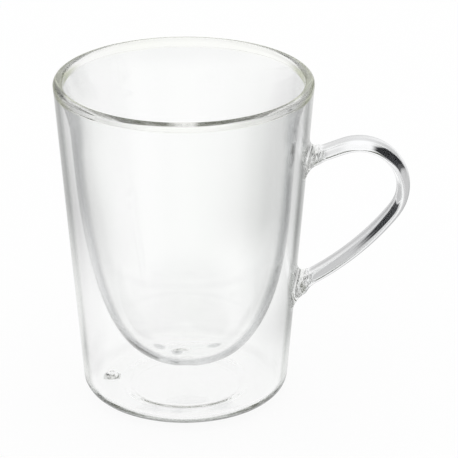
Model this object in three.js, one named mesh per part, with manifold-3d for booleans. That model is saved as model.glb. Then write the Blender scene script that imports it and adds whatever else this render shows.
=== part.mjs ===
// A double-walled glass mug: a tapered outer vessel and a round-nosed inner bowl, fused at the rim,
// with a bent strap handle on two weld pads and a small seal in the vent of the base.
// Millimetres, +Z up. The origin is the centre of the foot, on the table. The handle points along +X.
import * as THREE from "three";
import { mergeVertices } from "three/addons/utils/BufferGeometryUtils.js";
import Module from "manifold-3d";

const wasm = await Module();
wasm.setup();

// Overall sizes
const overallHeight = 111;
const rimDiameter = 85;
const baseDiameter = 67.7; // the outer wall's cone, carried down to the table

// Glass thicknesses
const outerWall = 1.5;
const innerWall = 1.5;
const baseThickness = 2.2;
const bowlFloor = 2.2;

// Rim, where both walls run into one bead
const rimBeadHeight = 3.2;
const rimSwell = 0.12; // how far the bead stands proud of each wall
const seamGap = 0.25; // left between the two walls under the bead

// Inner bowl
const airGap = 2.6; // between the two walls, along their parallel stretch
const flareDepth = 15.8; // the bowl leans out to the rim over this depth
const shoulderDepth = 22.8; // from the bead down to where the bowl starts to close
const underBowl = 10.2; // air between the base and the bowl's nose
const noseFullness = 3.05; // exponent of the nose: 2 is an ellipse, more is squarer
const tipMarkRadius = 5; // dent left at the nose where the bowl was drawn off
const tipMarkDepth = 0.8;

// Heel and foot
const heelRound = 6;
const footLift = 1.1; // the ring round the foot stays this far off the table
const liftedRing = 6.4; // width of that ring
const footStep = 4.5; // width of the slope from the ring down to the foot

// Vent in the lifted ring, on the side away from the handle, and the bead that seals it
const ventHole = 2.6;
const ventClearance = 0.25;
const sealMargin = 0.8; // from the seal's edge to the edges of the ring
const sealHeight = 1.6;
const sealDimple = 0.7;
const sealRecess = 0.3; // the seal's stem ends this far up inside the hole

// Handle, an oval strap: a straight upper arm, a round bend and a gently curved lower arm
const handleWidth = 10.6;
const handleThickness = 4.4;
const handleBend = 14.5; // radius of the bend's centre line
const handleDrop = 36; // from the rim's crown down to the bend's centre
const fingerRoom = 30; // from the wall to the inside of the bend
const upperArmSlope = Math.tan(THREE.MathUtils.degToRad(21.8));
const lowerArmBend = 93; // radius of the lower arm's centre line
const bendEnd = THREE.MathUtils.degToRad(-36.4); // where the bend turns into the lower arm

// Weld pads, gathers of glass between the wall and the ends of the handle
const padReach = 3.3; // from the wall to the face that takes the handle
const padHeight = 15;
const padWidth = 15;
const padLedge = 0.5; // the pad's face stands out this far round the handle's end
const lowerPadLip = 1.6; // the lower gather hangs this far below an even pad
const weldGap = 0.3;

// Fineness of the round forms
const turnSegments = 60;
const smallTurnSegments = 20;
const arcSteps = 6;
const noseSteps = 12;
const strapSides = 16;
const bendSteps = 44;
const padSides = 28;
const padRings = 5;

const jointHeight = overallHeight - rimBeadHeight;
const jointRadius = rimDiameter / 2 - rimSwell;
const wallTaper = (jointRadius - baseDiameter / 2) / jointHeight;
const wallRadius = (z) => baseDiameter / 2 + wallTaper * z;

// Points of a quarter ellipse or a part of one, in the half plane of a turned profile.
function arc(centreR, centreZ, radiusR, radiusZ, from, to, steps = arcSteps) {
  const points = [];
  for (let i = 0; i <= steps; i++) {
    const angle = from + ((to - from) * i) / steps;
    points.push([centreR + radiusR * Math.cos(angle), centreZ + radiusZ * Math.sin(angle)]);
  }
  return points;
}

// A body turned about Z from [radius, height] points that run up its outside and down its inside.
function turned(profile, segments = turnSegments) {
  const points = profile.map(([r, z]) => new THREE.Vector2(r, z));
  return new THREE.LatheGeometry(points, segments).rotateX(Math.PI / 2);
}

function solidOf(geometry) {
  const plain = new THREE.BufferGeometry();
  plain.setAttribute("position", geometry.getAttribute("position"));
  plain.setIndex(geometry.getIndex());
  const merged = mergeVertices(plain, 1e-4);
  const vertProperties = merged.getAttribute("position").array;
  const triVerts = new Uint32Array(merged.getIndex().array);
  return new wasm.Manifold(new wasm.Mesh({ numProp: 3, vertProperties, triVerts }));
}

function geometryOf(solid) {
  const mesh = solid.getMesh();
  const geometry = new THREE.BufferGeometry();
  geometry.setAttribute("position", new THREE.BufferAttribute(mesh.vertProperties, 3));
  geometry.setIndex(new THREE.BufferAttribute(mesh.triVerts, 1));
  geometry.computeVertexNormals();
  return geometry;
}

// Outer vessel: cone, rounded heel, lifted ring, slope and flat foot, with the vent drilled in the ring.
const heelAngle = Math.atan(wallTaper);
const heelCentreZ = footLift + heelRound;
const heelTopZ = heelCentreZ - heelRound * Math.sin(heelAngle);
const heelCentreR = wallRadius(heelTopZ) - heelRound * Math.cos(heelAngle);
const stepTopR = heelCentreR - liftedRing;
const footR = stepTopR - footStep;
const ringTopZ = footLift + baseThickness;
const ventX = liftedRing / 2 - heelCentreR;

function outerVesselProfile() {
  const outside = [
    [0, 0],
    [footR, 0],
    [stepTopR, footLift],
    ...arc(heelCentreR, heelCentreZ, heelRound, heelRound, -Math.PI / 2, -heelAngle),
    [jointRadius, jointHeight],
  ];
  const inside = [
    [jointRadius - outerWall, jointHeight],
    ...arc(
      heelCentreR,
      heelCentreZ,
      heelRound - outerWall,
      heelRound - baseThickness,
      -heelAngle,
      -Math.PI / 2,
    ),
    [stepTopR, ringTopZ],
    [footR, baseThickness],
    [0, baseThickness],
  ];
  return [...outside, ...inside];
}

function outerVessel() {
  const drillLength = 4 * baseThickness;
  const drill = new THREE.CylinderGeometry(ventHole / 2, ventHole / 2, drillLength, smallTurnSegments);
  drill.rotateX(Math.PI / 2);
  drill.translate(ventX, 0, ringTopZ);
  return geometryOf(solidOf(turned(outerVesselProfile())).subtract(solidOf(drill)));
}

// Inner bowl: its sides follow the outer wall, lean out to the bead at the top and close in a full nose.
const shoulderZ = jointHeight - shoulderDepth;
const flareZ = jointHeight - flareDepth;
const noseZ = baseThickness + underBowl;

function bowlSide(z, depthInGlass) {
  const lean = Math.max(0, (z - flareZ) / flareDepth) ** 2;
  const gap = airGap + (seamGap - airGap) * lean;
  return wallRadius(z) - outerWall - gap - depthInGlass;
}

function bowlNose(tipZ, depthInGlass) {
  const points = [];
  for (let i = 0; i <= noseSteps; i++) {
    const angle = (Math.PI / 2) * (1 - i / noseSteps);
    const z = shoulderZ - (shoulderZ - tipZ) * Math.sin(angle) ** (2 / noseFullness);
    const r = i === 0 ? 0 : bowlSide(z, depthInGlass) * Math.cos(angle) ** (2 / noseFullness);
    points.push([r, z]);
  }
  return points;
}

function bowlFlare(depthInGlass) {
  const points = [];
  for (let i = 0; i <= arcSteps; i++) {
    const z = i === arcSteps ? jointHeight : flareZ + (flareDepth * i) / arcSteps;
    points.push([bowlSide(z, depthInGlass), z]);
  }
  return points;
}

function withTipMark([r, z]) {
  const rise = r < tipMarkRadius ? (1 + Math.cos((Math.PI * r) / tipMarkRadius)) / 2 : 0;
  return [r, z + tipMarkDepth * rise];
}

function innerVessel() {
  const tipMarkRing = [tipMarkRadius / 2, noseZ];
  const [tip, ...nose] = bowlNose(noseZ, 0);
  const outside = [...[tip, tipMarkRing, ...nose].map(withTipMark), ...bowlFlare(0)];
  const inside = [...bowlNose(noseZ + bowlFloor, innerWall), ...bowlFlare(innerWall)];
  return turned([...outside, ...inside.reverse()]);
}

// Rim bead: a flat underside seated on the tops of both walls, and a full round crown.
function rimBead() {
  const innerR = jointRadius - outerWall - seamGap - innerWall;
  const middleR = (jointRadius + innerR) / 2;
  const crownR = (jointRadius - innerR) / 2 + rimSwell;
  const crownZ = overallHeight - crownR;
  const profile = [
    [jointRadius, jointHeight],
    ...arc(middleR, crownZ, crownR, crownR, 0, Math.PI, 2 * arcSteps),
    [innerR, jointHeight],
    [jointRadius, jointHeight],
  ];
  return turned(profile);
}

// Vent seal: a stem in the hole and a dimpled button seated on the lifted ring inside the base.
function ventSeal() {
  const stemR = ventHole / 2 - ventClearance;
  const buttonR = liftedRing / 2 - sealMargin;
  const stemZ = footLift + sealRecess;
  const crestR = buttonR / 2;
  const profile = [
    [0, stemZ],
    [stemR, stemZ],
    [stemR, ringTopZ],
    [buttonR, ringTopZ],
    ...arc(crestR, ringTopZ, buttonR - crestR, sealHeight, Math.PI / 8, Math.PI / 2),
    [0, ringTopZ + sealHeight - sealDimple],
  ];
  return turned(profile, smallTurnSegments);
}

// Handle path in the XZ plane: the bend, where each arm leaves it, and where each arm meets its weld pad.
const bendZ = overallHeight - handleDrop;
const bendX = wallRadius(bendZ) + fingerRoom + handleThickness / 2 - handleBend;
const bendStart = Math.PI / 2 + Math.atan(upperArmSlope);
const bendCentre = new THREE.Vector3(bendX, 0, bendZ);
const lowerArmCentre = onArc(bendCentre, handleBend - lowerArmBend, bendEnd);

function onArc(centre, radius, angle) {
  const offset = new THREE.Vector3(Math.cos(angle), 0, Math.sin(angle)).multiplyScalar(radius);
  return offset.add(centre);
}

// The upper arm meets its pad where the straight arm lies padReach outside the wall.
function upperWeldPoint(armStart) {
  const wallAtArm = wallRadius(armStart.z - upperArmSlope * armStart.x) + padReach;
  const x = wallAtArm / (1 - wallTaper * upperArmSlope);
  return new THREE.Vector3(x, 0, armStart.z + upperArmSlope * (x - armStart.x));
}

// The lower arm meets its pad where its circle lies padReach outside the wall, at the lower crossing.
function lowerWeldPoint() {
  const reach = wallRadius(0) + padReach - lowerArmCentre.x;
  const a = 1 + wallTaper ** 2;
  const b = wallTaper * reach - lowerArmCentre.z;
  const c = reach ** 2 + lowerArmCentre.z ** 2 - lowerArmBend ** 2;
  const z = (-b - Math.sqrt(b ** 2 - a * c)) / a;
  return new THREE.Vector3(wallRadius(z) + padReach, 0, z);
}

const upperArmStart = onArc(bendCentre, handleBend, bendStart);
const upperWeld = upperWeldPoint(upperArmStart);
const lowerWeld = lowerWeldPoint();
const lowerWeldSlope = (lowerWeld.x - lowerArmCentre.x) / (lowerArmCentre.z - lowerWeld.z);

class HandlePath extends THREE.Curve {
  constructor() {
    super();
    const past = handleThickness; // each arm runs past its weld, to be trimmed square
    this.upperEnd = new THREE.Vector3(upperWeld.x - past, 0, upperWeld.z - past * upperArmSlope);
    this.upperLength = this.upperEnd.distanceTo(upperArmStart);
    this.bendLength = handleBend * (bendStart - bendEnd);
    const weldAngle = -Math.PI / 2 + Math.atan(lowerWeldSlope);
    this.lowerLength = lowerArmBend * (bendEnd - weldAngle) + past;
  }

  getPoint(t) {
    const along = t * (this.upperLength + this.bendLength + this.lowerLength);
    if (along < this.upperLength) {
      return this.upperEnd.clone().lerp(upperArmStart, along / this.upperLength);
    }
    const round = along - this.upperLength;
    if (round < this.bendLength) {
      return onArc(bendCentre, handleBend, bendStart - round / handleBend);
    }
    return onArc(lowerArmCentre, lowerArmBend, bendEnd - (round - this.bendLength) / lowerArmBend);
  }
}

// A block that trims an arm square at its weld, on the wall's side.
function trimBlock(weld, towardsZ) {
  const height = 2 * overallHeight;
  const block = new THREE.BoxGeometry(weld.x, 4 * handleWidth, height);
  block.translate(weld.x / 2, 0, bendZ + (towardsZ * height) / 2);
  return solidOf(block);
}

function handle() {
  const section = new THREE.Shape();
  section.absellipse(0, 0, handleWidth / 2, handleThickness / 2, 0, 2 * Math.PI);
  const strap = new THREE.ExtrudeGeometry(new THREE.Shape(section.getSpacedPoints(strapSides)), {
    steps: bendSteps,
    extrudePath: new HandlePath(),
  });
  return geometryOf(
    solidOf(strap).subtract(trimBlock(upperWeld, 1)).subtract(trimBlock(lowerWeld, -1)),
  );
}

// A weld pad: closed rings that start on the wall, shrink in a hollow fillet and end in a flat upright
// face. Two smaller rings close the side on the wall, so that it keeps to the wall's curve.
function weldPad(weld, slope, lip) {
  const faceHeight = (handleThickness / 2) * Math.sqrt(1 + slope ** 2) + padLedge;
  const faceWidth = handleWidth / 2 + padLedge;
  const middleZ = weld.z - lip / 2;
  const wallFace = (y, z) => Math.sqrt((wallRadius(z) + weldGap) ** 2 - y ** 2);
  const ringAt = (rise, share) => {
    const fillet = 1 - Math.sqrt(1 - (1 - rise) ** 2);
    const halfHeight = share * (faceHeight + (padHeight / 2 - faceHeight) * fillet + lip / 2);
    const halfWidth = share * (faceWidth + (padWidth / 2 - faceWidth) * fillet);
    const centreZ = middleZ - slope * padReach * (1 - rise);
    const ring = [];
    for (let i = 0; i < padSides; i++) {
      const angle = (2 * Math.PI * i) / padSides;
      const y = halfWidth * Math.cos(angle);
      const z = centreZ + halfHeight * Math.sin(angle);
      const x = rise === 1 ? weld.x : wallFace(y, z) * (1 - rise) + weld.x * rise;
      ring.push([x, y, z]);
    }
    return ring;
  };
  const rings = [ringAt(0, 1 / 3), ringAt(0, 2 / 3)];
  for (let i = 0; i <= padRings; i++) {
    rings.push(ringAt(i / padRings, 1));
  }
  const wallZ = middleZ - slope * padReach;
  return lofted(rings, [wallFace(0, wallZ), 0, wallZ], [weld.x, 0, middleZ]);
}

// Rings of equal counts joined in order, each end closed to a middle point.
function lofted(rings, startPoint, endPoint) {
  const sides = rings[0].length;
  const positions = [...rings.flat(), startPoint, endPoint].flat();
  const start = rings.length * sides;
  const end = start + 1;
  const last = (rings.length - 1) * sides;
  const faces = [];
  for (let i = 0; i < sides; i++) {
    const next = (i + 1) % sides;
    faces.push(start, next, i, end, last + i, last + next);
    for (let ring = 0; ring < last; ring += sides) {
      faces.push(ring + i, ring + next, ring + sides + next);
      faces.push(ring + i, ring + sides + next, ring + sides + i);
    }
  }
  const geometry = new THREE.BufferGeometry();
  geometry.setAttribute("position", new THREE.Float32BufferAttribute(positions, 3));
  geometry.setIndex(faces);
  geometry.computeVertexNormals();
  return geometry;
}

function glass(colour) {
  return new THREE.MeshStandardMaterial({
    color: colour,
    roughness: 0.03,
    metalness: 0,
    transparent: true,
    opacity: 0.35,
  });
}

function piece(name, geometry, colour) {
  const mesh = new THREE.Mesh(geometry, glass(colour));
  mesh.name = name;
  return mesh;
}

const seal = piece("vent_seal", ventSeal(), 0xe6ebea);
seal.position.x = ventX;

const mug = new THREE.Group();
mug.add(
  piece("outer_vessel", outerVessel(), 0xf2f6f5),
  piece("inner_vessel", innerVessel(), 0xf2f6f5),
  piece("rim_bead", rimBead(), 0xd3dccb),
  piece("handle", handle(), 0xeef2f6),
  piece("upper_handle_pad", weldPad(upperWeld, upperArmSlope, 0), 0xe9eeee),
  piece("lower_handle_pad", weldPad(lowerWeld, lowerWeldSlope, lowerPadLip), 0xe9eeee),
  seal,
);

export default mug;
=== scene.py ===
# A clear double-walled glass mug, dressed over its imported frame. Metres, +Z up, the handle along +X.
import math
import bmesh
import bpy
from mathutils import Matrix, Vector, noise


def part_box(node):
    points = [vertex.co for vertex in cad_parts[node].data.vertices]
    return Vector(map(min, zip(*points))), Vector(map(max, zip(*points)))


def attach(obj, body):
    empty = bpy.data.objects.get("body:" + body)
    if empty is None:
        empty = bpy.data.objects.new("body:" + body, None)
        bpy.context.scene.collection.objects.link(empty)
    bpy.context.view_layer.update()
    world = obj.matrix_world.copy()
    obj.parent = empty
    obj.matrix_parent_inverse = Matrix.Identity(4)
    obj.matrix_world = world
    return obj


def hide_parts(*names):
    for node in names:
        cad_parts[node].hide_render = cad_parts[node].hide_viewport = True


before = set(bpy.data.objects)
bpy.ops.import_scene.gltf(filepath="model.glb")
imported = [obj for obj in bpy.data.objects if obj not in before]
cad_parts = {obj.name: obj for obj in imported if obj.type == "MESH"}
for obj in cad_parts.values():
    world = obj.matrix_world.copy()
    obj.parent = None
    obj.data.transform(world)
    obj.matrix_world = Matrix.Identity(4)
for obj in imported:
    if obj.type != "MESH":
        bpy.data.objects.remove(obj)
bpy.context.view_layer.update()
mm = 0.001
fullTurn = 2 * math.pi
axisLimit = 1e-9  # a smaller radius is taken to lie on the axis
plain, fused = 0, 1  # a piece's finishes: glass in air, and faces where two gathers run together
noPaintedShade = -1.0  # reach of the painted edge shade for a face that gets none
print("frame loaded")


# Finishes

glassIor = 1.47
meltRun = {
    "rippleDetail": 1.0,
    "streakScale": 45.0,
    "streakDetail": 3.0,
    "streakFrom": 0.35,
    "streakTo": 0.7,
}


def meltRippleGroup():
    # ripples in the surface and streaks of colour, drawn out along the axis
    group = bpy.data.node_groups.new("meltRipple", "ShaderNodeTree")
    sockets = group.interface
    sockets.new_socket("Scale", in_out="INPUT", socket_type="NodeSocketFloat")
    sockets.new_socket("Stretch", in_out="INPUT", socket_type="NodeSocketFloat")
    sockets.new_socket("Clear", in_out="INPUT", socket_type="NodeSocketColor")
    sockets.new_socket("Cast", in_out="INPUT", socket_type="NodeSocketColor")
    sockets.new_socket("Height", in_out="OUTPUT", socket_type="NodeSocketFloat")
    sockets.new_socket("Colour", in_out="OUTPUT", socket_type="NodeSocketColor")
    nodes = group.nodes
    links = group.links
    entry = nodes.new("NodeGroupInput")
    leave = nodes.new("NodeGroupOutput")
    place = nodes.new("ShaderNodeTexCoord")
    squeeze = nodes.new("ShaderNodeCombineXYZ")
    squeeze.inputs["X"].default_value = 1.0
    squeeze.inputs["Y"].default_value = 1.0
    links.new(entry.outputs["Stretch"], squeeze.inputs["Z"])
    drawn = nodes.new("ShaderNodeVectorMath")
    drawn.operation = "MULTIPLY"
    links.new(place.outputs["Object"], drawn.inputs[0])
    links.new(squeeze.outputs["Vector"], drawn.inputs[1])
    ripple = nodes.new("ShaderNodeTexNoise")
    ripple.inputs["Detail"].default_value = meltRun["rippleDetail"]
    links.new(drawn.outputs["Vector"], ripple.inputs["Vector"])
    links.new(entry.outputs["Scale"], ripple.inputs["Scale"])
    links.new(ripple.outputs["Fac"], leave.inputs["Height"])
    cloud = nodes.new("ShaderNodeTexNoise")
    cloud.inputs["Scale"].default_value = meltRun["streakScale"]
    cloud.inputs["Detail"].default_value = meltRun["streakDetail"]
    links.new(drawn.outputs["Vector"], cloud.inputs["Vector"])
    spread = nodes.new("ShaderNodeMapRange")
    spread.inputs["From Min"].default_value = meltRun["streakFrom"]
    spread.inputs["From Max"].default_value = meltRun["streakTo"]
    links.new(cloud.outputs["Fac"], spread.inputs["Value"])
    streak = nodes.new("ShaderNodeMix")
    streak.data_type = "RGBA"
    links.new(spread.outputs["Result"], streak.inputs["Factor"])
    links.new(entry.outputs["Clear"], streak.inputs["A"])
    links.new(entry.outputs["Cast"], streak.inputs["B"])
    links.new(streak.outputs["Result"], leave.inputs["Colour"])
    return group


meltRipple = meltRippleGroup()


def makeGlass(name, look):
    glass = bpy.data.materials.new(name)
    glass.use_nodes = True
    nodes = glass.node_tree.nodes
    links = glass.node_tree.links
    shader = nodes["Principled BSDF"]
    shader.inputs["Transmission Weight"].default_value = 1.0
    shader.inputs["IOR"].default_value = glassIor
    shader.inputs["Roughness"].default_value = 0.0
    shader.inputs["Specular Tint"].default_value = (*look["gleam"], 1.0)
    melt = nodes.new("ShaderNodeGroup")
    melt.node_tree = meltRipple
    melt.inputs["Scale"].default_value = look["rippleScale"]
    melt.inputs["Stretch"].default_value = look["stretch"]
    melt.inputs["Clear"].default_value = (*look["clear"], 1.0)
    melt.inputs["Cast"].default_value = (*look["cast"], 1.0)
    graze = nodes.new("ShaderNodeLayerWeight")  # painted shade: the glass colour darkens where the view grazes a wall, partly standing for light that runs far in it and dims
    graze.inputs["Blend"].default_value = 0.5  # Facing is then one less the cosine
    band = nodes.new("ShaderNodeMapRange")
    band.interpolation_type = "SMOOTHSTEP"
    band.inputs["From Min"].default_value = look["edgeFrom"]
    band.inputs["From Max"].default_value = look["edgeTo"]
    reach = nodes.new("ShaderNodeAttribute")  # how much further in the painted edge shade begins at each point
    reach.attribute_name = "paintedShadeReach"
    moved = nodes.new("ShaderNodeMath")
    moved.operation = "ADD"
    links.new(graze.outputs["Facing"], moved.inputs[0])
    links.new(reach.outputs["Fac"], moved.inputs[1])
    links.new(moved.outputs["Value"], band.inputs["Value"])
    paintedEdgeShade = nodes.new("ShaderNodeMix")
    paintedEdgeShade.data_type = "RGBA"
    paintedEdgeShade.inputs["B"].default_value = (*look["edge"], 1.0)
    links.new(band.outputs["Result"], paintedEdgeShade.inputs["Factor"])
    links.new(melt.outputs["Colour"], paintedEdgeShade.inputs["A"])
    last = nodes.new("ShaderNodeMapRange")  # and the outermost edge gets a finer, darker painted line of shade
    last.interpolation_type = "SMOOTHSTEP"
    last.inputs["From Min"].default_value = look["lineFrom"]
    last.inputs["From Max"].default_value = look["lineTo"]
    links.new(moved.outputs["Value"], last.inputs["Value"])
    line = nodes.new("ShaderNodeMix")
    line.data_type = "RGBA"
    line.inputs["B"].default_value = (*look["line"], 1.0)
    links.new(last.outputs["Result"], line.inputs["Factor"])
    links.new(paintedEdgeShade.outputs["Result"], line.inputs["A"])
    links.new(line.outputs["Result"], shader.inputs["Base Color"])
    bump = nodes.new("ShaderNodeBump")
    bump.inputs["Strength"].default_value = look["rippleStrength"]
    bump.inputs["Distance"].default_value = look["rippleDepth"]
    links.new(melt.outputs["Height"], bump.inputs["Height"])
    links.new(bump.outputs["Normal"], shader.inputs["Normal"])
    return glass


def makeFusedFace():
    face = bpy.data.materials.new("fusedFace")
    face.use_nodes = True
    shader = face.node_tree.nodes["Principled BSDF"]
    shader.inputs["Alpha"].default_value = 0.0
    return face


# in each look, edge and line are painted shade colours that darken the glass towards its outlines; the
# rim's edge is an olive painted shade
vesselLook = {
    "clear": (1.0, 1.0, 1.0), "cast": (0.985, 0.99, 0.985), "gleam": (0.955, 0.966, 0.925),
    "edge": (0.52, 0.54, 0.52), "edgeFrom": 0.66, "edgeTo": 0.73,
    "line": (0.1, 0.11, 0.11), "lineFrom": 0.84, "lineTo": 1.06,
    "rippleScale": 55.0, "stretch": 0.12, "rippleStrength": 0.25, "rippleDepth": 0.05 * mm,
}
rimLook = {
    "clear": (1.0, 1.0, 0.99), "cast": (0.97, 0.98, 0.94), "gleam": (0.955, 0.966, 0.9),
    "edge": (0.36, 0.39, 0.24), "edgeFrom": 0.42, "edgeTo": 0.72,
    "line": (0.14, 0.15, 0.09), "lineFrom": 0.76, "lineTo": 1.0,
    "rippleScale": 90.0, "stretch": 1.0, "rippleStrength": 0.3, "rippleDepth": 0.08 * mm,
}
handleLook = {
    "clear": (1.0, 1.0, 1.0), "cast": (0.975, 0.985, 1.0), "gleam": (0.9, 0.92, 0.95),
    "edge": (0.4, 0.42, 0.45), "edgeFrom": 0.72, "edgeTo": 1.0,
    "line": (0.2, 0.21, 0.23), "lineFrom": 0.84, "lineTo": 1.06,
    "rippleScale": 70.0, "stretch": 1.0, "rippleStrength": 0.08, "rippleDepth": 0.05 * mm,
}
weldLook = {
    "clear": (1.0, 1.0, 0.995), "cast": (0.97, 0.98, 0.95), "gleam": (0.97, 0.975, 0.93),
    "edge": (0.6, 0.62, 0.58), "edgeFrom": 0.72, "edgeTo": 1.0,
    "line": (0.3, 0.31, 0.28), "lineFrom": 0.84, "lineTo": 1.06,
    "rippleScale": 160.0, "stretch": 1.0, "rippleStrength": 0.3, "rippleDepth": 0.08 * mm,
}
sealLook = {
    "clear": (1.0, 1.0, 0.995), "cast": (0.97, 0.98, 0.96), "gleam": (0.9, 0.92, 0.86),
    "edge": (0.4, 0.42, 0.4), "edgeFrom": 0.72, "edgeTo": 1.0,
    "line": (0.2, 0.21, 0.2), "lineFrom": 0.84, "lineTo": 1.06,
    "rippleScale": 300.0, "stretch": 1.0, "rippleStrength": 0.5, "rippleDepth": 0.1 * mm,
}
bowlLook = {**vesselLook, "edge": (0.44, 0.45, 0.46), "edgeFrom": 0.57, "edgeTo": 0.68}
vesselGlass = makeGlass("vesselGlass", vesselLook)
bowlGlass = makeGlass("bowlGlass", bowlLook)
rimGlass = makeGlass("rimGlass", rimLook)
handleGlass = makeGlass("handleGlass", handleLook)
weldGlass = makeGlass("weldGlass", weldLook)
sealGlass = makeGlass("sealGlass", sealLook)
fusedFace = makeFusedFace()
print("finishes made")


# Mesh building

def addPiece(name, node, glass, points, faces, marks, paintedShadeReach=None):
    mesh = bpy.data.meshes.new(name)
    mesh.from_pydata(points, [], faces)
    mesh.materials.append(glass)
    mesh.materials.append(fusedFace)
    mesh.polygons.foreach_set("material_index", marks)
    if paintedShadeReach:
        mesh.attributes.new("paintedShadeReach", "FLOAT", "POINT").data.foreach_set("value", paintedShadeReach)
    shape = bmesh.new()
    shape.from_mesh(mesh)
    bmesh.ops.recalc_face_normals(shape, faces=shape.faces)
    for face in shape.faces:
        face.smooth = True
    for edge in shape.edges:  # a fused face ends in a crease, so that the outside keeps its own curve
        edge.smooth = len({face.material_index for face in edge.link_faces}) == 1
    loose = sum(1 for edge in shape.edges if len(edge.link_faces) != 2)
    shape.to_mesh(mesh)
    shape.free()
    piece = bpy.data.objects.new(name, mesh)
    bpy.context.scene.collection.objects.link(piece)
    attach(piece, "root")
    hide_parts(node)
    print(f"{name}: {len(faces)} faces, {loose} open edges")


def between(a, b, share):
    return a + (b - a) * share


def ease(share):
    return share * share * (3 - 2 * share)


def easeIn(share):
    return ease(min(1.0, max(0.0, share)))


def bulge(away):
    # a smooth bump, 1 in the middle and 0 from a distance of 1
    return (1 + math.cos(math.pi * min(1.0, away))) / 2


def steps(count):
    return [i / count for i in range(count + 1)]


def ovalArc(centreR, centreZ, radiusR, radiusZ, start, end, count):
    angles = [between(start, end, share) for share in steps(count)]
    return [(centreR + radiusR * math.cos(a), centreZ + radiusZ * math.sin(a)) for a in angles]


def turnedRows(points, profile, columns, wobble=None):
    # one row of point numbers for each place on the profile; a place on the axis has one point
    rows = []
    for r, z in profile:
        if r < axisLimit:
            points.append((0.0, 0.0, z))
            rows.append([len(points) - 1] * columns)
            continue
        row = []
        for column in range(columns):
            angle = fullTurn * column / columns
            reach = r + (wobble(angle, r, z) if wobble else 0.0)
            points.append((reach * math.cos(angle), reach * math.sin(angle), z))
            row.append(len(points) - 1)
        rows.append(row)
    return rows


def gridFaces(rows, marksOfRow, closed=False, skip=None):
    faces = []
    marks = []
    columns = len(rows[0])
    last = len(rows) if closed else len(rows) - 1
    for low in range(last):
        high = (low + 1) % len(rows)
        for column in range(columns):
            if skip and skip(low, column):
                continue
            after = (column + 1) % columns
            corners = [rows[low][column], rows[low][after], rows[high][after], rows[high][column]]
            faces.append(list(dict.fromkeys(corners)))
            marks.append(marksOfRow.get(low, plain))
    return faces, marks


def ringFaces(outer, inner):
    count = len(outer)
    return [(outer[i], outer[(i + 1) % count], inner[(i + 1) % count], inner[i]) for i in range(count)]


def fanFaces(loop, tip):
    return [(loop[i], loop[(i + 1) % len(loop)], tip) for i in range(len(loop))]


def keepFaces(faces, marks, made, finish):
    faces.extend(made)
    marks.extend([finish] * len(made))


def keepBand(faces, marks, loops, finish):
    for outer, inner in zip(loops, loops[1:]):
        keepFaces(faces, marks, ringFaces(outer, inner), finish)


def addLoop(points, places):
    points.extend(places)
    return list(range(len(points) - len(places), len(points)))


def windowEdge(rows, rowFrom, rowTo, middle, reach):
    # point numbers round a window in a grid, anticlockwise from its first corner
    columns = len(rows[0])
    left = middle - reach
    right = middle + reach
    edge = [rows[rowFrom][column % columns] for column in range(left, right)]
    edge += [rows[row][right % columns] for row in range(rowFrom, rowTo)]
    edge += [rows[rowTo][column % columns] for column in range(right, left, -1)]
    edge += [rows[row][left % columns] for row in range(rowTo, rowFrom, -1)]
    return edge


def inWindow(window, row, column, columns):
    offset = (column - window["middle"] + window["reach"]) % columns
    return window["from"] <= row < window["to"] and offset < 2 * window["reach"]


# Outer vessel

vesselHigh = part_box("outer_vessel")[1]
vessel = {
    "coneFoot": 33.85 * mm,  # the wall's cone, carried down to the table
    "wall": 1.5 * mm,
    "base": 2.2 * mm,
    "heelRound": 6 * mm,
    "footLift": 1.1 * mm,
    "ring": 6.4 * mm,
    "step": 4.5 * mm,
    "columns": 240,
    "footRows": 6,
    "stepRows": 16,
    "ringRows": 8,
    "heelRows": 18,
    "wallRows": 64,
    "wobble": 0.02 * mm,  # slow unevenness left by the mould
    "wobbleTurns": 3,
    "wobbleLength": 40 * mm,
    "heelReach": 0.3,  # the painted edge shade reaches further in on the rounded heel than on the wall
    "heelFadeAbove": 2 * mm,
    "heelFade": 4 * mm,
}
wallTop = vesselHigh.z
wallTopR = vesselHigh.x
taper = (wallTopR - vessel["coneFoot"]) / wallTop


def wallRadius(z):
    return vessel["coneFoot"] + taper * z


lean = math.atan(taper)
heelZ = vessel["footLift"] + vessel["heelRound"]
heelTop = heelZ - vessel["heelRound"] * math.sin(lean)
heelR = wallRadius(heelTop) - vessel["heelRound"] * math.cos(lean)
stepR = heelR - vessel["ring"]
footR = stepR - vessel["step"]
ringTop = vessel["footLift"] + vessel["base"]


def footProfile(lowZ, highZ):
    # from the axis out over the flat foot and up the eased step to the lifted ring's inner edge
    flat = [(footR * share, lowZ) for share in steps(vessel["footRows"])][:-1]
    slope = [
        (between(footR, stepR, share), between(lowZ, highZ, ease(share)))
        for share in steps(vessel["stepRows"])
    ]
    return flat + slope


def ringProfile(z):
    return [(between(stepR, heelR, share), z) for share in steps(vessel["ringRows"])]


def mouldWobble(angle, r, z):
    turns = vessel["wobbleTurns"]
    place = Vector((turns * math.cos(angle), turns * math.sin(angle), z / vessel["wobbleLength"]))
    return vessel["wobble"] * noise.noise(place)


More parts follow.
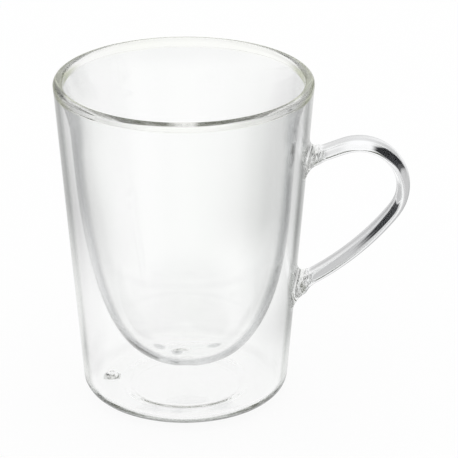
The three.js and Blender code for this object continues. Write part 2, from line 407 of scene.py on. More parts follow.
# sizes of the handle, the pads and the seal come first, because the wall is cut to their outlines
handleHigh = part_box("handle")[1]
handle = {
    "width": 10.6 * mm,
    "thickness": 4.4 * mm,
    "bend": 14.5 * mm,
    "bendZ": 75 * mm,
    "upperSlope": math.tan(math.radians(21.8)),
    "lowerBend": 93 * mm,
    "bendEnd": math.radians(-36.4),
    "sides": 64,
    "pathStep": 0.1 * mm,
    "stride": 6,  # steps of the path from one ring of points to the next
    "tangentSteps": 3,
    "soften": 2.4 * mm,  # reach of the averaging that eases one curve into the next
    "endFade": 6 * mm,  # the ends lean into the upright weld planes over this length
    "steepest": 0.3,  # where the path runs more upright than this, nothing leans
    "collar": 0.9 * mm,  # the ends widen to the weld over this length
    "collarEase": 1.3,
}
pad = {
    "reach": 3.3 * mm,
    "height": 15 * mm,
    "width": 15 * mm,
    "ledge": 0.5 * mm,
    "rings": 46,
    "discRings": 4,
    "windowMargin": 2.2 * mm,
    "windowRings": 3,
    "fold": 0.05 * mm,  # height of the small folds pressed up round the weld, and their spacing
    "foldPitch": 0.85 * mm,
    "foldFrom": 0.9 * mm,
    "foldTo": 5.2 * mm,
    "foldTurns": 1.3,  # the folds stray and vary round the weld and along it
    "foldLength": 2.5 * mm,
    "foldStray": 3.5,
    "foldShare": 0.7,
    "foldVaries": 0.6,
    "foldGrain": 2.3,
    "foldEase": 0.7,
}

bendX = handleHigh.x - handle["thickness"] / 2 - handle["bend"]
bendCentre = Vector((bendX, 0, handle["bendZ"]))


def onArc(centre, radius, angle):
    return centre + radius * Vector((math.cos(angle), 0, math.sin(angle)))


lowerCentre = onArc(bendCentre, handle["bend"] - handle["lowerBend"], handle["bendEnd"])
bendStart = math.pi / 2 + math.atan(handle["upperSlope"])
armStart = onArc(bendCentre, handle["bend"], bendStart)
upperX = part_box("upper_handle_pad")[1].x
upperWeld = Vector((upperX, 0, armStart.z + handle["upperSlope"] * (upperX - armStart.x)))
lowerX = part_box("lower_handle_pad")[1].x
lowerDrop = math.sqrt(handle["lowerBend"] ** 2 - (lowerX - lowerCentre.x) ** 2)
lowerWeld = Vector((lowerX, 0, lowerCentre.z - lowerDrop))
lowerSlope = (lowerX - lowerCentre.x) / lowerDrop
upperGather = {"weld": upperWeld, "slope": handle["upperSlope"], "lip": 0.0}
lowerGather = {"weld": lowerWeld, "slope": lowerSlope, "lip": 1.6 * mm}


def gatherSize(gather, rise):
    # half width, half height and middle height of a weld pad, from the wall at 0 to the handle at 1
    fillet = 1 - math.sqrt(max(0.0, 1 - (1 - rise) ** 2))
    faceHigh = handle["thickness"] / 2 * math.sqrt(1 + gather["slope"] ** 2) + pad["ledge"]
    faceWide = handle["width"] / 2 + pad["ledge"]
    high = between(faceHigh, pad["height"] / 2, fillet) + gather["lip"] / 2
    wide = between(faceWide, pad["width"] / 2, fillet)
    middle = gather["weld"].z - gather["lip"] / 2 - gather["slope"] * pad["reach"] * (1 - rise)
    return wide, high, middle


def foldHeight(angle, away):
    # small uneven folds round the weld, at a distance from the wall
    span = (away - pad["foldFrom"]) / (pad["foldTo"] - pad["foldFrom"])
    if not 0 < span < 1:
        return 0.0
    turns = pad["foldTurns"]
    place = Vector((turns * math.cos(angle), turns * math.sin(angle), away / pad["foldLength"]))
    turn = fullTurn * away / pad["foldPitch"] + pad["foldStray"] * noise.noise(place)
    share = pad["foldShare"] + pad["foldVaries"] * noise.noise(pad["foldGrain"] * place)
    return pad["fold"] * share * math.sin(math.pi * span) ** pad["foldEase"] * math.sin(turn)


def onWall(y, z):
    return (math.sqrt(wallRadius(z) ** 2 - y ** 2), y, z)


vent = {
    "hole": 1.3 * mm,
    "button": 2.4 * mm,
    "recess": 0.3 * mm,
    "crest": 1.6 * mm,
    "dimple": 0.4 * mm,
    "uneven": 0.14 * mm,  # lumps in the button, their length, and the rise over which they come in
    "unevenLength": 0.9 * mm,
    "unevenRise": 0.4 * mm,
    "reach": 4,  # columns on each side of the vent that its window takes out of the ring
    "stemRows": 4,
    "rows": 26,
    "dimpleRows": 10,
}
ventX = -(heelR + stepR) / 2


def ovalLoop(points, edge, flatten, lift, middle, wide, high):
    # angles of the window's edge points seen from the oval's middle, and loops that close in on it
    flat = [flatten(points[number]) for number in edge]
    angles = [math.atan2((v - middle[1]) / high, (u - middle[0]) / wide) for u, v in flat]
    oval = [(middle[0] + wide * math.cos(a), middle[1] + high * math.sin(a)) for a in angles]
    loops = [edge]
    for share in steps(pad["windowRings"])[1:]:
        places = [
            lift(between(a[0], b[0], share), between(a[1], b[1], share)) for a, b in zip(flat, oval)
        ]
        loops.append(addLoop(points, places))
    return angles, loops


def makeOuterVessel():
    points = []
    heelRows = vessel["heelRows"]
    ringRows = vessel["ringRows"]
    outside = footProfile(0.0, vessel["footLift"])[:-1]
    ringStart = len(outside)
    outside += ringProfile(vessel["footLift"])[:-1]
    heelRound = vessel["heelRound"]
    outside += ovalArc(heelR, heelZ, heelRound, heelRound, -math.pi / 2, -lean, heelRows)
    wallStart = len(outside) - 1
    wallHeights = [between(heelTop, wallTop, share) for share in steps(vessel["wallRows"])]
    outside += [(wallRadius(z), z) for z in wallHeights[1:]]
    inside = [(wallRadius(z) - vessel["wall"], z) for z in reversed(wallHeights[1::2] + [wallTop])]
    inside = list(dict.fromkeys(inside))
    innerR = heelRound - vessel["wall"]
    innerZ = heelRound - vessel["base"]
    inside += ovalArc(heelR, heelZ, innerR, innerZ, -lean, -math.pi / 2, heelRows)[:-1]
    topRing = len(outside) + len(inside)
    inside += ringProfile(ringTop)[::-1][:-1]
    inside += footProfile(vessel["base"], ringTop)[::-1]
    columns = vessel["columns"]
    outsideRows = turnedRows(points, outside, columns)
    outsideCount = len(points)
    insideRows = turnedRows(points, inside, columns, mouldWobble)
    insideCount = len(points)
    rows = outsideRows + insideRows

    windows = []
    for gather in (upperGather, lowerGather):
        wide, high, middle = gatherSize(gather, 0.0)
        reach = high + pad["windowMargin"]
        near = [i for i, z in enumerate(wallHeights) if middle - reach < z < middle + reach]
        column = fullTurn / columns * wallRadius(middle)
        window = {
            "from": wallStart + near[0], "to": wallStart + near[-1], "middle": 0,
            "reach": math.ceil((wide + pad["windowMargin"]) / column), "gather": gather,
        }
        windows.append(window)
    ventWindows = [
        {"from": ringStart, "to": ringStart + ringRows, "middle": columns // 2, "reach": vent["reach"]},
        {"from": topRing, "to": topRing + ringRows, "middle": columns // 2, "reach": vent["reach"]},
    ]

    def skip(row, column):
        return any(inWindow(window, row, column, columns) for window in windows + ventWindows)

    topSpan = {len(outside) - 1: fused}
    faces, marks = gridFaces(rows, topSpan, skip=skip)
    for window in windows:
        gather = window["gather"]
        edge = windowEdge(rows, window["from"], window["to"], 0, window["reach"])
        wide, high, middle = gatherSize(gather, 0.0)
        angles, loops = ovalLoop(
            points, edge, lambda p: (p[1], p[2]), onWall, (0.0, middle), wide, high,
        )
        gather["angles"] = angles
        keepBand(faces, marks, loops, plain)
        discs = [loops[-1]]
        for ring in range(1, pad["discRings"]):
            share = 1 - ring / pad["discRings"]
            places = [
                onWall(wide * share * math.cos(a), middle + high * share * math.sin(a)) for a in angles
            ]
            discs.append(addLoop(points, places))
        keepBand(faces, marks, discs, fused)
        tip = addLoop(points, [onWall(0.0, middle)])[0]
        keepFaces(faces, marks, fanFaces(discs[-1], tip), fused)

    # the vent: its recess is open below, and the rest of the hole is filled by the seal
    bottom, top = ventWindows
    lowEdge = windowEdge(rows, bottom["from"], bottom["to"], bottom["middle"], bottom["reach"])
    topEdge = windowEdge(rows, top["from"], top["to"], top["middle"], top["reach"])

    def flatten(place):
        return place[0] - ventX, place[1]

    def onRing(u, v):
        return ventX + u, v, ringTop

    def underRing(u, v):
        return ventX + u, v, vessel["footLift"]

    def circle(angles, r, z):
        return [(ventX + r * math.cos(a), r * math.sin(a), z) for a in angles]

    hole = vent["hole"]
    button = vent["button"]
    lowAngles, lowLoops = ovalLoop(points, lowEdge, flatten, underRing, (0.0, 0.0), hole, hole)
    topAngles, topLoops = ovalLoop(points, topEdge, flatten, onRing, (0.0, 0.0), button, button)
    keepBand(faces, marks, lowLoops, plain)
    keepBand(faces, marks, topLoops, plain)
    recess = addLoop(points, circle(lowAngles, hole, vessel["footLift"] + vent["recess"]))
    keepFaces(faces, marks, ringFaces(lowLoops[-1], recess), plain)
    mouth = addLoop(points, circle(topAngles, hole, ringTop))
    keepFaces(faces, marks, ringFaces(topLoops[-1], mouth), fused)
    lowOrder = sorted(range(len(recess)), key=lambda i: lowAngles[i])
    topOrder = sorted(range(len(mouth)), key=lambda i: topAngles[i])
    lining = ringFaces([recess[i] for i in lowOrder], [mouth[i] for i in topOrder])
    keepFaces(faces, marks, lining, fused)
    vent["angles"] = sorted(lowAngles)
    # painted edge shade: it reaches further in near the heel, and the wall's inner face gets none
    paintedShadeReach = []
    for number, place in enumerate(points):
        heel = easeIn((heelTop + vessel["heelFadeAbove"] - place[2]) / vessel["heelFade"])
        paintedShadeReach.append(noPaintedShade if outsideCount <= number < insideCount else vessel["heelReach"] * heel)
    addPiece("outerVessel", "outer_vessel", vesselGlass, points, faces, marks, paintedShadeReach)


makeOuterVessel()


# Inner bowl

bowl = {
    "wall": 1.5 * mm,
    "floor": 2.2 * mm,
    "airGap": 2.6 * mm,
    "seamGap": 0.25 * mm,
    "flareDepth": 15.8 * mm,
    "shoulderDepth": 22.8 * mm,
    "noseZ": 12.4 * mm,
    "noseFullness": 3.05,
    "lean": 0.8 * mm,  # the bowl was set a little towards the handle, more so lower down
    "leanOver": 45 * mm,
    "marks": (  # dents where the nose was pulled off and pressed smooth
        {"x": -2.4 * mm, "y": -4.5 * mm, "reach": 5 * mm, "depth": 0.8 * mm},
        {"x": 0.6 * mm, "y": -13.4 * mm, "reach": 3.4 * mm, "depth": 0.8 * mm},
    ),
    "ripple": 0.12 * mm,  # slow waves left in the thick glass of the nose
    "rippleLength": 9 * mm,
    "rippleTop": 16 * mm,
    "rippleFade": 18 * mm,
    "insideSeed": 4.7,
    "nosePaintedShade": (  # painted shade: three patches where the nose's colour darkens
        {"x": -2.6 * mm, "y": -5.2 * mm, "wide": 3.6 * mm, "deep": 6 * mm, "reach": 0.75},
        {"x": -9.5 * mm, "y": -1.6 * mm, "wide": 7 * mm, "deep": 8 * mm, "reach": 0.41},
        {"x": 10.5 * mm, "y": 0.5 * mm, "wide": 9 * mm, "deep": 7 * mm, "reach": 0.4},
    ),
    "paintedShadeTop": 20 * mm,
    "noseReach": 0.12,  # the painted edge shade reaches further in on the nose's rounded edge than on the side
    "noseFade": 14 * mm,
    "tipSteps": 10,
    "noseSteps": 72,
    "flareSteps": 28,
    "columns": 240,
}
shoulderZ = wallTop - bowl["shoulderDepth"]
flareZ = wallTop - bowl["flareDepth"]


def bowlSide(z, depth):
    out = max(0.0, (z - flareZ) / bowl["flareDepth"]) ** 2
    gap = between(bowl["airGap"], bowl["seamGap"], out)
    return wallRadius(z) - vessel["wall"] - gap - depth


def bowlProfile(tipZ, depth):
    # from the nose's tip up to the rim
    profile = []
    for share in steps(bowl["noseSteps"]):
        angle = math.pi / 2 * (1 - share)
        z = shoulderZ - (shoulderZ - tipZ) * math.sin(angle) ** (2 / bowl["noseFullness"])
        r = bowlSide(z, depth) * math.cos(angle) ** (2 / bowl["noseFullness"]) if share > 0 else 0.0
        profile.append((r, z))
    for share in steps(bowl["flareSteps"])[1:]:
        z = between(shoulderZ, wallTop, share)
        profile.append((bowlSide(z, depth), z))
    return profile


def pressNose(place, marks, seed):
    x, y, z = place
    for mark in marks:
        away = math.hypot(x - mark["x"], y - mark["y"]) / mark["reach"]
        z += mark["depth"] * bulge(away)
    low = 1 - easeIn((z - bowl["rippleTop"]) / bowl["rippleFade"])
    wave = noise.noise(Vector((x, y, z)) / bowl["rippleLength"] + Vector((0, 0, seed)))
    return x, y, z + bowl["ripple"] * low * wave


def makeInnerBowl():
    points = []
    outside = bowlProfile(bowl["noseZ"], 0.0)
    firstR = outside[1][0]
    tip = [(firstR * share, outside[0][1]) for share in steps(bowl["tipSteps"])[1:-1]]
    outside = outside[:1] + tip + outside[1:]
    inside = bowlProfile(bowl["noseZ"] + bowl["floor"], bowl["wall"])[::-1]
    columns = bowl["columns"]
    rows = turnedRows(points, outside, columns, mouldWobble)
    split = len(points)
    rows += turnedRows(points, inside, columns)
    for number, place in enumerate(points):
        if place[2] < shoulderZ:
            if number < split:
                x, y, z = pressNose(place, bowl["marks"], 0.0)
            else:
                x, y, z = pressNose(place, (), bowl["insideSeed"])
            shift = bowl["lean"] * easeIn((shoulderZ - z) / bowl["leanOver"])
            points[number] = (x + shift, y, z)
    faces, marks = gridFaces(rows, {len(outside) - 1: fused})
    paintedShadeReach = []
    # painted shade: the edge shade reaches further in on the nose and in three patches on it; the inside
    # gets none
    for number, (x, y, z) in enumerate(points):
        if number >= split:
            paintedShadeReach.append(noPaintedShade)
            continue
        reach = bowl["noseReach"] * (1 - easeIn((z - bowl["noseZ"]) / bowl["noseFade"]))
        if z < bowl["paintedShadeTop"]:
            for mark in bowl["nosePaintedShade"]:
                away = math.hypot((x - mark["x"]) / mark["wide"], (y - mark["y"]) / mark["deep"])
                reach += mark["reach"] * bulge(away)
        paintedShadeReach.append(reach)
    addPiece("innerBowl", "inner_vessel", bowlGlass, points, faces, marks, paintedShadeReach)


makeInnerBowl()


# Rim bead

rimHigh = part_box("rim_bead")[1]
rim = {
    "lip": 1.6 * mm,  # radius of the rounded lip, how much it varies, and how far it thins at one side
    "lipVaries": 0.04,
    "lipTurns": 4,
    "lipSeed": 0.3,
    "lipThins": 0.34 * mm,
    "seamArch": 0.15 * mm,
    "seamSteps": 8,
    "columns": 360,
    "sideSteps": 10,
    "crownSteps": 36,
}


def bent(startR, startSlope, endR, endSlope, height, share):
    # radius on a cubic curve between two radii, with its slopes at both ends
    rest = 1 - share
    return (
        startR * (1 + 2 * share) * rest ** 2
        + startSlope * height * share * rest ** 2
        + endR * share ** 2 * (3 - 2 * share)
        - endSlope * height * share ** 2 * rest
    )


def beadProfile(angle):
    # up the outside, over the lip, down the flared inside and back along the seam between the walls
    innerR = bowlSide(wallTop, bowl["wall"])
    seamOutR = wallTopR - vessel["wall"]
    seamInR = bowlSide(wallTop, 0.0)
    turns = rim["lipTurns"]
    uneven = noise.noise(Vector((turns * math.cos(angle), turns * math.sin(angle), rim["lipSeed"])))
    thinned = rim["lipThins"] * max(0.0, -math.sin(angle)) ** 2
    lipR = rim["lip"] * (1 + rim["lipVaries"] * uneven) - thinned
    centreR = rimHigh.x - lipR
    centreZ = rimHigh.z - lipR
    away = math.hypot(centreR - innerR, centreZ - wallTop)
    tilt = math.atan2(centreR - innerR, centreZ - wallTop) - math.asin(lipR / away)
    touchR = centreR - lipR * math.cos(tilt)
    touchZ = centreZ + lipR * math.sin(tilt)
    flareSlope = taper + 2 * (bowl["airGap"] - bowl["seamGap"]) / bowl["flareDepth"]
    rise = centreZ - wallTop
    climb = touchZ - wallTop
    outSide = [
        (bent(wallTopR, taper, rimHigh.x, 0.0, rise, share), between(wallTop, centreZ, share))
        for share in steps(rim["sideSteps"])
    ]
    inSide = [
        (bent(innerR, flareSlope, touchR, math.tan(tilt), climb, share), between(wallTop, touchZ, share))
        for share in steps(rim["sideSteps"])
    ]
    crown = ovalArc(centreR, centreZ, lipR, lipR, 0.0, math.pi - tilt, rim["crownSteps"])
    seamMiddle = (seamInR + seamOutR) / 2
    seamHalf = (seamOutR - seamInR) / 2
    seam = ovalArc(seamMiddle, wallTop, seamHalf, rim["seamArch"], math.pi, 0.0, rim["seamSteps"])
    return outSide + crown[1:-1] + inSide[::-1] + seam


def makeRimBead():
    points = []
    columns = rim["columns"]
    angles = [fullTurn * column / columns for column in range(columns)]
    profiles = [beadProfile(angle) for angle in angles]
    rows = []
    for places in zip(*profiles):
        ring = [(r * math.cos(a), r * math.sin(a), z) for a, (r, z) in zip(angles, places)]
        rows.append(addLoop(points, ring))
    outerJoint = len(rows) - 1
    innerJoint = outerJoint - rim["seamSteps"] - 1
    faces, marks = gridFaces(rows, {innerJoint: fused, outerJoint: fused}, closed=True)
    addPiece("rimBead", "rim_bead", rimGlass, points, faces, marks)


makeRimBead()


# Handle strap

def handlePath():
    # points a fixed step apart from weld to weld, run on past both ends and averaged to ease the bends
    over = handle["soften"]
    step = handle["pathStep"]
    upper = (armStart - upperWeld).length + over
    bendLong = handle["bend"] * (bendStart - handle["bendEnd"])
    weldAngle = -math.pi / 2 + math.atan(lowerSlope)
    lower = handle["lowerBend"] * (handle["bendEnd"] - weldAngle) + over
    length = upper + bendLong + lower
    count = round(length / step)
    raw = []
    direction = (armStart - upperWeld).normalized()
    for i in range(count + 1):
        along = length * i / count
        if along < upper:
            raw.append(upperWeld + direction * (along - over))
        elif along < upper + bendLong:
            raw.append(onArc(bendCentre, handle["bend"], bendStart - (along - upper) / handle["bend"]))
        else:
            turn = (along - upper - bendLong) / handle["lowerBend"]
            raw.append(onArc(lowerCentre, handle["lowerBend"], handle["bendEnd"] - turn))
    reach = round(over / step)
    path = []
    total = sum(raw[: 2 * reach + 1], Vector())
    for i in range(reach, len(raw) - reach):
        path.append(total / (2 * reach + 1))
        if i + reach + 1 < len(raw):
            total = total + raw[i + reach + 1] - raw[i - reach]
    return path


def strapPlace(angle):
    # the strap's oval section: across, and through its thickness
    return handle["width"] / 2 * math.cos(angle), handle["thickness"] / 2 * math.sin(angle)


def makeHandle():
    path = handlePath()
    points = []
    last = len(path) - 1
    picked = list(range(0, last, handle["stride"]))
    if last - picked[-1] < handle["stride"] / 2:
        picked.pop()
    picked.append(last)
    loops = []
    for number in picked:
        ahead = path[min(number + handle["tangentSteps"], last)]
        behind = path[max(number - handle["tangentSteps"], 0)]
        tangent = (ahead - behind).normalized()
        side = Vector((-tangent.z, 0, tangent.x))
        near = min(number, last - number) * handle["pathStep"]
        shear = 1 - easeIn(near / handle["endFade"])
        gather = upperGather if number < last - number else lowerGather
        wide, high, middle = gatherSize(gather, 1.0)
        flare = math.exp(-((near / handle["collar"]) ** handle["collarEase"]))
        places = []
        for i in range(handle["sides"]):
            angle = fullTurn * i / handle["sides"]
            across, through = strapPlace(angle)
            place = path[number] + side * through
            if abs(tangent.x) > handle["steepest"]:
                place -= tangent * (through * side.x / tangent.x) * shear
            place.y = across
            upward = 1 if side.z > 0 else -1
            collar = Vector((place.x, wide * math.cos(angle), middle + upward * high * math.sin(angle)))
            place = place.lerp(collar, flare)
            fold = foldHeight(upward * angle, pad["reach"] + near)
            place += fold * (Vector((0, math.cos(angle), 0)) + side * math.sin(angle))
            places.append(tuple(place))
        loops.append(addLoop(points, places))
    faces = []
    marks = []
    keepBand(faces, marks, loops, plain)
    for loop in (loops[0], loops[-1]):
        centre = sum((Vector(points[i]) for i in loop), Vector()) / len(loop)
        hub = addLoop(points, [tuple(centre)])[0]
        keepFaces(faces, marks, fanFaces(loop, hub), fused)
    addPiece("handleStrap", "handle", handleGlass, points, faces, marks)


makeHandle()


# Weld pads

def makePad(name, node, gather):
    points = []
    angles = gather["angles"]
    loops = []
    wide, high, middle = gatherSize(gather, 0.0)
    discs = []
    for ring in range(1, pad["discRings"]):
        share = ring / pad["discRings"]
        places = [onWall(wide * share * math.cos(a), middle + high * share * math.sin(a)) for a in angles]
        discs.append(addLoop(points, places))
    for share in steps(pad["rings"]):
        rise = 1 - math.cos(share * math.pi / 2)
        wide, high, middle = gatherSize(gather, rise)
        places = []
        for a in angles:
            fold = foldHeight(a, rise * pad["reach"])
            y = (wide + fold) * math.cos(a)
            z = middle + (high + fold) * math.sin(a)
            x = between(onWall(y, z)[0], gather["weld"].x, rise)
            places.append((x, y, z))
        loops.append(addLoop(points, places))
    faces = []
    marks = []
    keepBand(faces, marks, discs + loops[:1], fused)
    keepBand(faces, marks, loops, plain)
    wallTip = addLoop(points, [onWall(0.0, gatherSize(gather, 0.0)[2])])[0]
    faceTip = addLoop(points, [(gather["weld"].x, 0.0, gatherSize(gather, 1.0)[2])])[0]
    keepFaces(faces, marks, fanFaces(discs[0], wallTip), fused)
    keepFaces(faces, marks, fanFaces(loops[-1], faceTip), fused)
    addPiece(name, node, weldGlass, points, faces, marks)


makePad("upperPad", "upper_handle_pad", upperGather)
makePad("lowerPad", "lower_handle_pad", lowerGather)


# Vent seal

def makeVentSeal():
    points = []
    angles = vent["angles"]
    stemZ = vessel["footLift"] + vent["recess"]
    crestR = vent["button"] / 2
    crestTop = ringTop + vent["crest"]
    profile = [(vent["hole"] * share, stemZ) for share in steps(vent["stemRows"])[1:]]
    stemSpan = len(profile) - 1
    profile += [(vent["hole"], ringTop), (vent["button"], ringTop)]
    profile += ovalArc(crestR, ringTop, crestR, vent["crest"], 0.0, math.pi / 2, vent["rows"])[1:]
    for share in steps(vent["dimpleRows"])[1:-1]:
        profile.append((crestR * (1 - share), crestTop - vent["dimple"] * ease(share)))
    loops = []
    for r, z in profile:
        places = []
        for a in angles:
            place = Vector((r * math.cos(a), r * math.sin(a), 0))
            raised = min(1.0, max(0.0, (z - ringTop) / vent["unevenRise"]))
            lump = vent["uneven"] * raised * noise.noise(place / vent["unevenLength"])
            places.append((ventX + place.x, place.y, z + lump))
        loops.append(addLoop(points, places))
    faces = []
    marks = []
    stemTop = stemSpan + 2
    keepBand(faces, marks, loops[:stemSpan + 1], plain)
    keepBand(faces, marks, loops[stemSpan:stemTop + 1], fused)
    keepBand(faces, marks, loops[stemTop:], plain)
    for loop, z in ((loops[0], stemZ), (loops[-1], crestTop - vent["dimple"])):
        tip = addLoop(points, [(ventX, 0.0, z)])[0]
        keepFaces(faces, marks, fanFaces(loop, tip), plain)
    addPiece("ventSeal", "vent_seal", sealGlass, points, faces, marks)


makeVentSeal()
print("pieces made")


# Stage: floor, light and camera

stage = {
    "floorSize": 6.0,
    "floorDrop": 0.2 * mm,  # the floor lies just under the foot, so that the two faces never coincide
    "floorColour": (0.96, 0.96, 0.96, 1.0),
    "floorRoughness": 0.9,
    "glow": 0.93,
    "white": (1.0, 1.0, 1.0, 1.0),
    "dark": (0.003, 0.0033, 0.005, 1.0),
    # dark flags painted into the sky and onto the floor, which only the glass sees, draw its edges as
    # painted dark reflections; headings in degrees run from +X towards +Y. On the sky they are measured by
    # the sine of the height, on the floor by the distance from the axis: each comes up softly from "from"
    # to "full" and goes again from "hold" to "end". Below -1 or above 1 on the sky, and past the floor's
    # edge, nothing is cut off
    "skyFlags": (
        {"toward": 20, "reach": 50, "core": 10, "depth": 0.36,
         "from": -2, "full": -1, "hold": 0.4, "end": 0.78},
        {"toward": 47, "reach": 28, "core": 18, "depth": 1.0,
         "from": -2, "full": -1, "hold": 0.42, "end": 0.6},
        {"toward": 126, "reach": 20, "core": 7, "depth": 0.42,
         "from": -2, "full": -1, "hold": 0.38, "end": 0.56},
        {"toward": 137, "reach": 14, "core": 6, "depth": 0.75,
         "from": 0, "full": 0.04, "hold": 0.18, "end": 0.28},
        {"toward": -90, "reach": 150, "core": 110, "depth": 0.25,
         "from": 0.08, "full": 0.25, "hold": 2, "end": 3},
        {"toward": -86, "reach": 80, "core": 45, "depth": 0.5,
         "from": 0.15, "full": 0.35, "hold": 0.6, "end": 0.8},
        {"toward": -90, "reach": 165, "core": 130, "depth": 1.0,
         "from": 0.5, "full": 0.66, "hold": 2, "end": 3,
         "tone": (0.04, 0.047, 0.015, 1.0)},  # a dark olive ceiling painted into the sky, seen only by the glass
    ),
    "floorFlags": (
        {"toward": 16, "reach": 54, "core": 24, "depth": 0.47,
         "from": 0.04, "full": 0.08, "hold": 9, "end": 10},
        {"toward": 62, "reach": 30, "core": 14, "depth": 0.26,
         "from": 0.1, "full": 0.16, "hold": 0.2, "end": 0.4},
        {"toward": 34, "reach": 22, "core": 9, "depth": 0.6,
         "from": 0.4, "full": 0.9, "hold": 9, "end": 10},
        {"toward": 142, "reach": 37, "core": 12, "depth": 0.5,
         "from": 0.08, "full": 0.18, "hold": 9, "end": 10},
        {"toward": 174, "reach": 26, "core": 8, "depth": 0.32,
         "from": 0.04, "full": 0.06, "hold": 0.1, "end": 0.2},
    ),
}


def flagGroup():
    # how far a place lies within the wedge that a flag covers, seen from the axis
    group = bpy.data.node_groups.new("sideFlag", "ShaderNodeTree")
    sockets = group.interface
    sockets.new_socket("Place", in_out="INPUT", socket_type="NodeSocketVector")
    sockets.new_socket("Toward", in_out="INPUT", socket_type="NodeSocketVector")
    sockets.new_socket("Edge", in_out="INPUT", socket_type="NodeSocketFloat")
    sockets.new_socket("Core", in_out="INPUT", socket_type="NodeSocketFloat")
    sockets.new_socket("Measure", in_out="INPUT", socket_type="NodeSocketFloat")
    for name in ("From", "Full", "Hold", "End"):
        sockets.new_socket(name, in_out="INPUT", socket_type="NodeSocketFloat")
    sockets.new_socket("Mask", in_out="OUTPUT", socket_type="NodeSocketFloat")
    nodes = group.nodes
    links = group.links
    entry = nodes.new("NodeGroupInput")
    leave = nodes.new("NodeGroupOutput")
    flat = nodes.new("ShaderNodeVectorMath")
    flat.operation = "MULTIPLY"
    flat.inputs[1].default_value = (1.0, 1.0, 0.0)
    links.new(entry.outputs["Place"], flat.inputs[0])
    heading = nodes.new("ShaderNodeVectorMath")
    heading.operation = "NORMALIZE"
    links.new(flat.outputs["Vector"], heading.inputs[0])
    facing = nodes.new("ShaderNodeVectorMath")
    facing.operation = "DOT_PRODUCT"
    links.new(heading.outputs["Vector"], facing.inputs[0])
    links.new(entry.outputs["Toward"], facing.inputs[1])
    soft = nodes.new("ShaderNodeMapRange")
    soft.interpolation_type = "SMOOTHSTEP"
    links.new(facing.outputs["Value"], soft.inputs["Value"])
    links.new(entry.outputs["Edge"], soft.inputs["From Min"])
    links.new(entry.outputs["Core"], soft.inputs["From Max"])
    mask = soft.outputs["Result"]
    for first, last in (("From", "Full"), ("End", "Hold")):
        within = nodes.new("ShaderNodeMapRange")
        within.interpolation_type = "SMOOTHSTEP"
        links.new(entry.outputs["Measure"], within.inputs["Value"])
        links.new(entry.outputs[first], within.inputs["From Min"])
        links.new(entry.outputs[last], within.inputs["From Max"])
        both = nodes.new("ShaderNodeMath")
        both.operation = "MULTIPLY"
        links.new(mask, both.inputs[0])
        links.new(within.outputs["Result"], both.inputs[1])
        mask = both.outputs["Value"]
    links.new(mask, leave.inputs["Mask"])
    return group


sideFlag = flagGroup()


def flagShade(tree, place, flags, measure):
    # white, darkened by all the flags together; a flag with a tone of its own lies over the others
    nodes = tree.nodes
    links = tree.links
    total = None
    toned = []
    for flag in flags:
        wedge = nodes.new("ShaderNodeGroup")
        wedge.node_tree = sideFlag
        heading = math.radians(flag["toward"])
        wedge.inputs["Toward"].default_value = (math.cos(heading), math.sin(heading), 0.0)
        wedge.inputs["Edge"].default_value = math.cos(math.radians(flag["reach"]))
        wedge.inputs["Core"].default_value = math.cos(math.radians(flag["core"]))
        for name in ("From", "Full", "Hold", "End"):
            wedge.inputs[name].default_value = flag[name.lower()]
        links.new(place, wedge.inputs["Place"])
        links.new(measure, wedge.inputs["Measure"])
        if "tone" in flag:
            toned.append((flag, wedge.outputs["Mask"]))
            continue
        add = nodes.new("ShaderNodeMath")
        add.operation = "MULTIPLY_ADD"
        add.use_clamp = True
        add.inputs[1].default_value = flag["depth"]
        links.new(wedge.outputs["Mask"], add.inputs[0])
        if total:
            links.new(total, add.inputs[2])
        else:
            add.inputs[2].default_value = 0.0
        total = add.outputs["Value"]
    shade = nodes.new("ShaderNodeMix")
    shade.data_type = "RGBA"
    shade.inputs["A"].default_value = stage["white"]
    shade.inputs["B"].default_value = stage["dark"]
    links.new(total, shade.inputs["Factor"])
    seen = shade.outputs["Result"]
    for flag, mask in toned:
        share = nodes.new("ShaderNodeMath")
        share.operation = "MULTIPLY"
        share.inputs[1].default_value = flag["depth"]
        links.new(mask, share.inputs[0])
        over = nodes.new("ShaderNodeMix")
        over.data_type = "RGBA"
        over.inputs["B"].default_value = flag["tone"]
        links.new(share.outputs["Value"], over.inputs["Factor"])
        links.new(seen, over.inputs["A"])
        seen = over.outputs["Result"]
    return seen


def eitherRay(tree, first, second):
    either = tree.nodes.new("ShaderNodeMath")
    either.operation = "ADD"
    either.use_clamp = True
    tree.links.new(first, either.inputs[0])
    tree.links.new(second, either.inputs[1])
    return either.outputs["Value"]


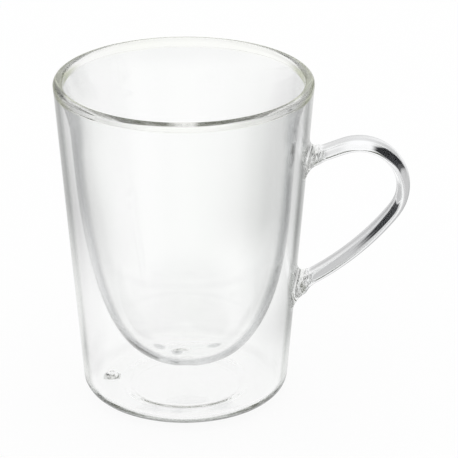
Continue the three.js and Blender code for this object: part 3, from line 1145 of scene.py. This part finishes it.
def makeFloor():
    mesh = bpy.data.meshes.new("floor")
    half = stage["floorSize"] / 2
    z = -stage["floorDrop"]
    corners = [(-half, -half, z), (half, -half, z), (half, half, z), (-half, half, z)]
    mesh.from_pydata(corners, [], [(0, 1, 2, 3)])
    paint = bpy.data.materials.new("floorPaint")
    paint.use_nodes = True
    tree = paint.node_tree
    nodes = tree.nodes
    links = tree.links
    matt = nodes["Principled BSDF"]
    matt.inputs["Base Color"].default_value = stage["floorColour"]
    matt.inputs["Roughness"].default_value = stage["floorRoughness"]
    place = nodes.new("ShaderNodeTexCoord")
    away = nodes.new("ShaderNodeVectorMath")
    away.operation = "LENGTH"
    links.new(place.outputs["Object"], away.inputs[0])
    # painted dark patches on the floor, which only glass rays see; the camera sees the floor white
    shade = flagShade(tree, place.outputs["Object"], stage["floorFlags"], away.outputs["Value"])
    path = nodes.new("ShaderNodeLightPath")
    white = nodes.new("ShaderNodeMix")
    white.data_type = "RGBA"
    white.inputs["B"].default_value = stage["white"]
    links.new(path.outputs["Is Camera Ray"], white.inputs["Factor"])
    links.new(shade, white.inputs["A"])
    glow = nodes.new("ShaderNodeEmission")
    links.new(white.outputs["Result"], glow.inputs["Color"])
    glassRay = eitherRay(tree, path.outputs["Is Glossy Ray"], path.outputs["Is Transmission Ray"])
    seen = eitherRay(tree, path.outputs["Is Camera Ray"], glassRay)
    share = nodes.new("ShaderNodeMath")
    share.operation = "MULTIPLY"
    share.inputs[1].default_value = stage["glow"]
    links.new(seen, share.inputs[0])
    mix = nodes.new("ShaderNodeMixShader")
    links.new(share.outputs["Value"], mix.inputs["Fac"])
    links.new(matt.outputs["BSDF"], mix.inputs[1])
    links.new(glow.outputs["Emission"], mix.inputs[2])
    links.new(mix.outputs["Shader"], nodes["Material Output"].inputs["Surface"])
    mesh.materials.append(paint)
    floor = bpy.data.objects.new("floor", mesh)
    bpy.context.scene.collection.objects.link(floor)


makeFloor()


def makeWorld():
    world = bpy.data.worlds.new("studio")
    bpy.context.scene.world = world
    world.use_nodes = True
    tree = world.node_tree
    nodes = tree.nodes
    links = tree.links
    place = nodes.new("ShaderNodeTexCoord")
    split = nodes.new("ShaderNodeSeparateXYZ")
    links.new(place.outputs["Generated"], split.inputs["Vector"])
    # painted dark patches in the sky, which only glass rays see
    shade = flagShade(tree, place.outputs["Generated"], stage["skyFlags"], split.outputs["Z"])
    path = nodes.new("ShaderNodeLightPath")
    glassRay = eitherRay(tree, path.outputs["Is Glossy Ray"], path.outputs["Is Transmission Ray"])
    pick = nodes.new("ShaderNodeMix")
    pick.data_type = "RGBA"
    pick.inputs["A"].default_value = stage["white"]
    links.new(glassRay, pick.inputs["Factor"])
    links.new(shade, pick.inputs["B"])
    links.new(pick.outputs["Result"], nodes["Background"].inputs["Color"])


makeWorld()

view = {
    "azimuth": math.radians(4),
    "elevation": math.radians(23.1),
    "distance": 0.9,
    "lookZ": 55 * mm,
    "aimRight": 14.67 * mm,  # the mug stands left of the picture's middle
    "aimUp": 2.54 * mm,
    "lens": 213.1,
    "sensor": 36,
    "farClip": 50,
}


def makeCamera():
    data = bpy.data.cameras.new("camera")
    camera = bpy.data.objects.new("camera", data)
    bpy.context.scene.collection.objects.link(camera)
    flat = math.cos(view["elevation"])
    back = Vector((
        math.sin(view["azimuth"]) * flat, -math.cos(view["azimuth"]) * flat, math.sin(view["elevation"]),
    ))
    right = Vector((math.cos(view["azimuth"]), math.sin(view["azimuth"]), 0))
    up = back.cross(right)
    look = Vector((0, 0, view["lookZ"]))
    camera.location = look + back * view["distance"]
    aim = look + right * view["aimRight"] + up * view["aimUp"]
    camera.rotation_euler = (aim - camera.location).to_track_quat("-Z", "Y").to_euler()
    data.lens = view["lens"]
    data.sensor_width = view["sensor"]
    data.clip_end = view["farClip"]
    bpy.context.scene.camera = camera


makeCamera()
bpy.context.scene.view_settings.view_transform = "Standard"
longRun = 512  # light runs a long way inside fused glass
clearFaces = 256  # and crosses many fused faces
lightPaths = bpy.context.scene.cycles
lightPaths.max_bounces = longRun
lightPaths.glossy_bounces = longRun
lightPaths.transmission_bounces = longRun
lightPaths.transparent_max_bounces = clearFaces
print("stage made")
